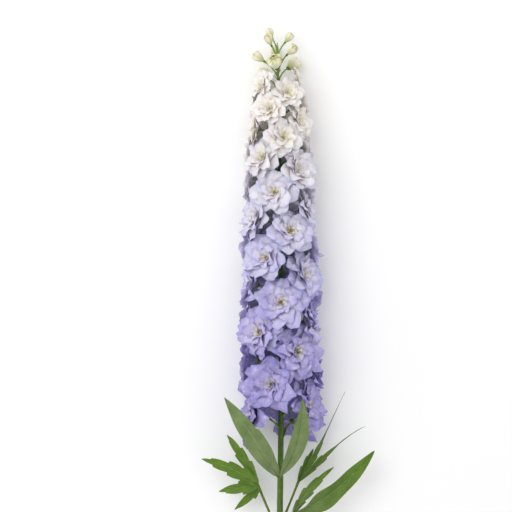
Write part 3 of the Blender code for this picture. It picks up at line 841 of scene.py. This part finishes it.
def petal_layer(bloom, rng, layer, frill, age):
    """One ring of petals as sheets, in the bloom's own axes (across, upward, facing).

    v runs from claw to tip, closer towards the tip by a power of 1.25, and u from side to side.
    The length s is v, less |u|^2.6 to round the end, with a scallop and a point or notch added.
    The midline is an arc whose pitch goes from the layer's first angle to its second, so radius =
    r0 + L (sin p(s) - sin p0) / k and depth = d0 - L (cos p(s) - cos p0) / k. Half the width is the
    claw's, eased to full at 0.6 and drawn in at the tip. The sheet then stands off that plane by
    a cup (u squared), a lean (u), a groove down the middle, and waves.

    The waves are the whole floret's, so its petals lie over each other without cutting through:
    sines of 7, 3 and 10 to the turn that fan out from the claw, a finer one of 13, and a crimp of
    23 at the rim. Also returns colour facts (age, way along, nearness to the rim, inside), then
    the flat place in millimetres.
    """
    layer = ripened(layer, age)
    wild = mix(1.0, 1.9, age)
    count = layer["count"]
    size = bloom.radius * bloom.vigour

    def vary(middle, spread):
        return rng.normal(middle, spread, count)[:, None, None]

    number = np.arange(count)[:, None, None]
    u = np.linspace(-1, 1, layer["across"])[None, :, None]
    v = 1 - (1 - np.linspace(0, 1, layer["along"])[None, None, :]) ** 1.25
    angle = bloom.spin + 2 * np.pi * (number + layer["turn"] + vary(0, 0.045)) / count
    length = size * layer["length"] * vary(1, 0.045)
    half = size * layer["width"] * vary(1, 0.05)
    first, last = np.radians(layer["pitch"]) + bloom.cupped
    first, last = vary(first, 0.05), vary(last, 0.075 * wild)
    scallop = SCALLOP * np.sin(vary(6.5, 0.8) * u + vary(0, 2))
    point = layer["point"] * np.exp(-((u / 0.25) ** 2))
    s = v * (1 - layer["round"] * np.abs(u) ** 2.6 + (scallop + point) * v)
    width = mix(layer["claw"], 1.0, smooth(v / 0.60)) * (1 - 0.24 * smooth((v - 0.64) / 0.36))
    pitch = first + (last - first) * s
    bend = np.where(np.abs(last - first) < 0.02, 0.02, last - first)
    radius = size * layer["root"][0] + length * (np.sin(pitch) - np.sin(first)) / bend
    depth = size * layer["root"][1] - length * (np.cos(pitch) - np.cos(first)) / bend
    depth = depth - length * layer["curl"] * vary(1, 0.4 * wild) * s ** 3
    sideways = u * half * width + length * vary(0, 0.05 * wild) * s * s
    way = angle + np.arctan2(sideways, radius)
    out = np.hypot(sideways, radius) / size
    a, b, c, d, e = bloom.folds
    fan = 0.9 * np.sin(7 * way + a + 2.6 * out) + 0.5 * np.sin(3 * way + b)
    fan = fan + 0.35 * np.sin(10 * way + c - 3.0 * out) + 0.55 * np.sin(13 * way + d - 4.2 * out)
    crimp = layer["crimp"] * np.sin(23 * way + e + 9.0 * out)
    margin = 1 - (1 - np.abs(u) ** 2.2) * (1 - v ** 4)
    wave = frill * size * layer["frill"] * v ** 1.3 * (mix(0.25, 1.0, margin) * fan + margin ** 2 * crimp)
    cup = vary(layer["cup"], 0.06 * wild) * u * u * smooth(v / 0.5)
    lean = vary(LEAN, 0.04 * wild) * u * s
    groove = KEEL_DEPTH * np.exp(-((u / KEEL_WIDTH) ** 2)) * v * (1 - v)
    stand = half * (cup - lean - groove) + wave
    radius = radius - stand * np.sin(pitch)
    depth = depth + stand * np.cos(pitch)
    x = np.cos(angle) * radius - np.sin(angle) * sideways
    y = np.sin(angle) * radius + np.cos(angle) * sideways
    tone = np.clip(age + (rng.random(count)[:, None, None] - 0.5) * 0.16 * (0.3 + age), 0, 1)
    rim = np.maximum(np.abs(u) ** 2.2 * smooth(v / 0.4), v ** 3.4)
    flat = (u * half * 1000, (s * length + angle * 0.01) * 1000)
    values = np.broadcast_arrays(tone, s * layer["ripe"], rim, 1.0, *flat)
    return np.stack([x, y, depth], -1), np.stack(values, -1)


# Room for each bloom: petals that near a neighbour's fold forward, and none goes into the table
WALL_GAP = 0.0007
OVERLAP = 0.0070
LEAST_ROOM = 0.002
CORNER_POWER = 8
CROWDED_FROM = 0.74
FOLD_FORWARD = 0.55
NEIGHBOUR_REACH = 0.130
PRESSED_BELOW = 0.010
PRESSED_TO = 0.0003


def walls_between(bloom):
    """Planes (normals, offsets) half way to each near neighbour, nearer to the smaller one."""
    middles = np.array([other.seat + other.facing * other.face for other in blooms])
    radii = np.array([other.radius for other in blooms])
    mine = middles[bloom.order]
    distance = np.linalg.norm(middles - mine, axis=1)
    near = (distance < NEIGHBOUR_REACH) & (distance > 0)
    normals = unit(middles[near] - mine)
    shares = bloom.radius / (bloom.radius + radii[near])
    return normals, normals @ mine + distance[near] * shares - WALL_GAP + OVERLAP


def settled(bloom, local):
    """Sets points given in a bloom's own axes among its neighbours.

    The room in a direction is the 8-norm of its walls' nearness, turned over, so its corners are
    round. Past 0.74 of the room, the radius nears the room's edge as a tanh, and the points fold
    forward by 0.55 of what is taken off. Under 10 mm, height falls off exponentially towards the
    table, and in the last 8 mm under the height of the whole spike, towards that height.
    """
    offset = local @ np.stack([bloom.across, bloom.upward, bloom.facing])
    depth = offset @ bloom.facing
    sideways = offset - depth[:, None] * bloom.facing
    radius = np.maximum(np.linalg.norm(sideways, axis=1), 1e-9)
    direction = sideways / radius[:, None]
    axis_point = bloom.seat + depth[:, None] * bloom.facing
    normals, offsets = walls_between(bloom)
    slope = np.maximum(direction @ normals.T, 0.0)
    nearness = slope / np.maximum(offsets - axis_point @ normals.T, LEAST_ROOM)
    room = 1 / np.maximum((nearness ** CORNER_POWER).sum(1) ** (1 / CORNER_POWER), 1.0)
    spare = 1 - CROWDED_FROM
    drawn = room * (CROWDED_FROM + spare * np.tanh((radius / room - CROWDED_FROM) / spare))
    kept = np.where(radius > CROWDED_FROM * room, drawn, radius)
    forward = bloom.facing * (FOLD_FORWARD * (radius - kept))[:, None]
    points = axis_point + direction * kept[:, None] + forward
    span = PRESSED_BELOW - PRESSED_TO
    low = PRESSED_TO + span * np.exp(np.minimum(points[:, 2] - PRESSED_BELOW, 0) / span)
    points[:, 2] = under_ceiling(np.where(points[:, 2] < PRESSED_BELOW, low, points[:, 2]))
    return points


def ring_of_petals(bloom, rng, layer, frill, age):
    """One layer settled in its place, as closed shells, whose backs are marked as outside."""
    local, values = petal_layer(bloom, rng, layer, frill, age)
    count, across, along = local.shape[:3]
    points, faces, cell = shells(settled(bloom, local.reshape(-1, 3)).reshape(local.shape), SHELL)
    values = values.reshape(count, across * along, 6)[:, cell]
    values[:, across * along:, 3] = 0.0
    return points, faces, values.reshape(-1, 6)


def grain(centre, axis, side, long, wide, sides=6, rings=3):
    """An ellipsoid round a centre: rings of points at even angles between its two poles."""
    other = np.cross(axis, side)
    polar = np.linspace(0, np.pi, rings + 2)[1:-1, None, None]
    turn = np.linspace(0, 2 * np.pi, sides, endpoint=False)[:, None]
    ring = np.sin(polar) * (side * np.cos(turn) + other * np.sin(turn)) * wide - axis * np.cos(polar) * long
    points = np.concatenate([ring.reshape(-1, 3), [-axis * long, axis * long]]) + centre
    return points, tube_faces(rings, sides), np.zeros((len(points), 6))


def seat_cup(bloom, heights, radii):
    """The cup that sepals grow from: round sections along the axis, at shares of the size."""
    path = bloom.seat + bloom.facing * (bloom.length * np.array(heights))[:, None]
    points, faces, _ = swept(path, bloom.radius * np.array(radii), CROWN_SIDES, bloom.across)
    return points, faces, np.zeros((len(points), 6))


def heart(bloom, rng):
    """The green seat of the petals, and the stamens that rise from it on bent threads.

    The seat's lower rings wear the stem's skin and its upper ones the petals'. A thread goes out
    by a square of the way, and stamens fill the circle evenly, as the root of their number.
    """
    size, seat, facing, across = bloom.radius, bloom.seat, bloom.facing, bloom.across
    age = age_of(bloom.order)
    points, (walls, foot, head), values = seat_cup(bloom, CROWN_HEIGHTS, CROWN_RADII)
    values[:, 0] = CROWN_AGE
    lower = 2 * CROWN_SIDES
    parts = [(points, [walls[:lower], walls[lower:], foot, head], values)]
    looks = [1, 0, 1, 0]
    u = np.linspace(0, 1, 4)
    for k in range(STAMENS):
        turn = rng.uniform(0, 2 * np.pi)
        out = across * math.cos(turn) + bloom.upward * math.sin(turn)
        spread = 0.02 + 0.11 * math.sqrt((k + 0.5) / STAMENS)
        rise = mix(0.12, rng.uniform(0.20, 0.29), u)[:, None] * facing
        path = seat + size * (rise + (spread * (0.5 + 0.5 * u ** 2))[:, None] * out)
        points, faces, _ = swept(path, np.full(len(path), THREAD_RADIUS), 4, across)
        parts.append((points, faces, np.zeros((len(points), 6))))
        tip = unit(facing + out * rng.uniform(-0.2, 0.9))
        side = unit(np.cross(tip, across + out * 0.3))
        fat = mix(*ANTHER_SWELL, age)
        points, faces, values = grain(path[-1], tip, side, ANTHER_LONG * fat, ANTHER_WIDE * fat)
        values[:, 0] = age
        parts.append((points, faces, values))
        looks += [2] * 3 + [3] * 3
    return parts, looks


def build_floret(bloom):
    """The layers of petals from the back to the front, and the heart, grown together.

    An old floret is larger, looser and more frilled, and every floret has folds of its own.
    """
    rng = np.random.default_rng(FLORET_SEED + bloom.order)
    age = age_of(bloom.order)
    frill = mix(*OLD_FRILL, age) * rng.uniform(0.85, 1.15)
    bloom.vigour = mix(rng.uniform(0.99, 1.07), rng.uniform(1.05, 1.12), age)
    bloom.cupped = np.clip(rng.normal(0.02, 0.09), -0.08, 0.22)
    bloom.folds = rng.uniform(0, 2 * np.pi, 5)
    parts = []
    for column in range(len(LAYERS["count"])):
        layer = {key: row[column] for key, row in LAYERS.items()}
        parts.append(ring_of_petals(bloom, rng, layer, frill, age * layer["aged"]))
    looks = [0] * len(parts)
    core, core_looks = heart(bloom, rng)
    points, faces, values = joined(parts + core)
    number = bloom.order + 1
    name = f"floret_{number:02d}"
    made = piece(
        name + "_petals", points, faces, looks + core_looks,
        [petal, stem_green, thread, pollen], {"bloom": values[:, :4]}, values[:, 4:],
    )
    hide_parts(name)


for bloom in blooms[:FLORETS]:
    build_floret(bloom)


# The half-open bells and the closed buds: five sepals wrapped round each other like a furled
# umbrella, cream, with green left in their feet, along their keels and in an olive knob.
YOUNG_SHELL = 0.0005
YOUNG_SEED = 900
WIDEST = (0.72, 0.86)
OVERLAP_DEGREES = 16
# A furl is its count of sepals, how far it is open, its share of the size, and its turn
BELL_FURLS = ((5, 0.55, 1.0, 0.0), (5, 0.10, 0.90, 0.6), (4, 0.0, 0.80, 0.2))
BUD_FURLS = ((5, 0.0, 1.0, 0.0),)
BELL_GREEN = 0.45
BUD_GREEN = (0.7, 1.0)
BELL_TIP = 0.8
SEAT_HEIGHTS = (-0.004, 0.02, 0.06, 0.10, 0.13)
SEAT_RADII = (0.16, 0.27, 0.30, 0.26, 0.12)


def young_tissue(add):
    """Unripe sepal: cream, waxy, green at the foot and keel, with an olive knob at the tip.

    Its veins are 1 mm apart, greener than the rest and faintly raised.
    """
    facts = add("Attribute", attribute_name="bud")
    along, across, green = add("SeparateColor", (facts["Color"],))
    flat = add("UVMap", uv_map="flat")["UV"]
    strands = {"Vector": flat, "Scale": 0.32, "Distortion": 2.0, "Detail": 2.0, "Detail Scale": 0.4}
    veins = add("TexWave", strands)["Fac"]
    keel, knob, line = (
        add("MapRange", row, interpolation_type=easing)["Result"] for easing, *row in [
            ("SMOOTHSTEP", across, 0.02, 0.40, 0.42, 0.0),
            ("SMOOTHSTEP", facts["Alpha"], 0.45, 0.95, 0.0, 1.0),
            ("LINEAR", veins, 0.75, 1.0, 0.0, 0.13),
        ]
    )
    keel = add("Math", (keel, green), operation="MULTIPLY")["Value"]
    creams = [(0.0, "#86a04a"), (0.16, "#b9c478"), (0.40, "#e0deb2"), (0.72, "#f2ebd6"), (1.0, "#dfdba4")]
    return add("ValToRGB", (along,), creams)["Color"], [
        ("#9db05a", keel, "MIX"), ("#7f8b3c", knob, "MIX"), ("#a3b06a", line, "MIX"),
    ], [(veins, 0.3, 0.0002)]


young = substance(
    "unripe sepal tissue", young_tissue, Roughness=0.5, Specular_IOR_Level=0.35,
    Subsurface_Weight=0.35, Subsurface_Scale=0.0018, Subsurface_Radius=(1.0, 0.95, 0.6),
)


def furled(bloom, rng, furl, green, tipped, across=11, along=22):
    """Sepals wrapped round the axis, each over the next, from the seat to a blunt or open end.

    At the share t of the way, the radius is (x (3 - x^2) / 2)^1.15 with x = t / w up to the widest
    place w. Past it, it closes as (1 - x^4)^0.55, or stays open by the furl's share. A sepal spans
    its part of the turn and an overlap to each side, drawn in to its tip as a root of 1 - t^8,
    its leading side rides out over its neighbour by 0.07 of the radius, and a keel runs down its
    middle to a knob. Values are t, |u|, green, the knob, and the flat place in millimetres.
    """
    count, opening, shrink, twist = furl
    t = np.linspace(0, 1, along)[None, None, :]
    u = np.linspace(-1, 1, across)[None, :, None]
    widest = mix(*WIDEST, opening)
    below = np.minimum(t / widest, 1.0)
    above = np.maximum((t - widest) / (1 - widest), 0.0)
    closing = np.maximum(1 - above ** 4, 0.0) ** 0.55
    share = (below * (3 - below ** 2) / 2) ** 1.15 * mix(closing, 1 - 0.06 * above ** 2, opening)
    number = np.arange(count)[:, None, None]
    start = bloom.spin + twist + 2 * np.pi * number / count + rng.normal(0, 0.05, count)[:, None, None]
    spread = np.radians(180 / count + OVERLAP_DEGREES) * np.sqrt(np.maximum(1 - (0.93 * t) ** 8, 0.0))
    angle = start + u * spread + 0.25 * t
    ride = 1 + 0.07 * u + 0.05 * np.exp(-((u / 0.22) ** 2)) * smooth(t / 0.5)
    ride = ride * rng.normal(1, 0.02, count)[:, None, None]
    knob = np.exp(-(((t - 0.93) / 0.08) ** 2) - (u / 0.42) ** 2)
    radius = bloom.radius * (shrink * np.maximum(share, 0.04) * ride + 0.10 * knob)
    rim = 1 - 0.055 * opening * u ** 2
    depth = bloom.length * mix(1.0, shrink, 0.7) * t * rim * (0.94 - 0.03 * np.cos(3 * u + start))
    flat = (angle * bloom.radius * 1000, t * bloom.length * 1000)
    values = np.broadcast_arrays(t, np.abs(u), green, knob * tipped, *flat)
    return np.stack([np.cos(angle) * radius, np.sin(angle) * radius, depth], -1), np.stack(values, -1)


def build_young(bloom, name):
    """A bud is one furl of sepals on a green seat, and a bell an open one with two more inside."""
    rng = np.random.default_rng(YOUNG_SEED + bloom.order)
    if bloom.kind == "bell":
        furls, green, tipped = BELL_FURLS, BELL_GREEN, BELL_TIP
    else:
        furls, tipped = BUD_FURLS, 1.0
        green = mix(*BUD_GREEN, (bloom.order - FLORETS - BELLS) / (BUDS - 1))
    axes = np.stack([bloom.across, bloom.upward, bloom.facing])
    parts = []
    for furl in furls:
        local, values = furled(bloom, rng, furl, green, tipped)
        points, faces, cell = shells(bloom.seat + local @ axes, YOUNG_SHELL)
        parts.append((points, faces, values.reshape(len(values), -1, 6)[:, cell].reshape(-1, 6)))
    looks = [0] * len(parts) + [1] * 3
    points, faces, values = joined(parts + [seat_cup(bloom, SEAT_HEIGHTS, SEAT_RADII)])
    points[:, 2] = np.maximum(points[:, 2], CLEARANCE)
    made = piece(
        name + "_sepals", points, faces, looks, [young, stem_green],
        {"bud": values[:, :4]}, values[:, 4:],
    )
    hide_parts(name)


for number, bloom in enumerate(blooms[FLORETS:], 1):
    build_young(bloom, f"bell_{number:02d}" if number <= BELLS else f"bud_{number - BELLS:02d}")


# The floor and the light: a white paper-smooth table, one wide soft lamp up and to the left, and a
# white room. The camera looks straight down, with the spike's axis and tip at their pixels.
METRES_A_PIXEL = 0.0015
HALF_PICTURE = 256
AXIS_COLUMN = 277
TIP_ROW = 20
VIEW_HEIGHT = 0.05

bpy.ops.mesh.primitive_plane_add(size=8, location=(0, 0, -0.0004))
floor = bpy.context.object
floor.name = "table_top"
floor.data.materials.append(substance("white table top", Roughness=0.9, Base_Color=colour("#f7f7f7")))

camera = bpy.data.objects.new("camera", bpy.data.cameras.new("camera"))
camera.data.lens = 85.0
camera.data.sensor_width = 36.0
camera.location = (
    (HALF_PICTURE - AXIS_COLUMN) * METRES_A_PIXEL + FOOT[0],
    SPIKE_LENGTH - (HALF_PICTURE - TIP_ROW) * METRES_A_PIXEL + FOOT[1],
    VIEW_HEIGHT + HALF_PICTURE * METRES_A_PIXEL / (camera.data.sensor_width / 2 / camera.data.lens),
)
bpy.context.scene.collection.objects.link(camera)
bpy.context.scene.camera = camera

lamp = bpy.data.objects.new("soft_lamp", bpy.data.lights.new("soft_lamp", "AREA"))
lamp.data.size = 1.4
lamp.data.energy = 15
lamp.location = (-0.9, 0.7, 1.7)
lamp.rotation_euler = (-0.42, -0.46, 0.0)
bpy.context.scene.collection.objects.link(lamp)
room = bpy.data.worlds.new("white room")
room.use_nodes = True
light = room.node_tree.nodes["Background"].inputs
light["Color"].default_value = (1, 1, 1, 1)
light["Strength"].default_value = 0.88
bpy.context.scene.world = room
bpy.context.scene.view_settings.view_transform = "Standard"
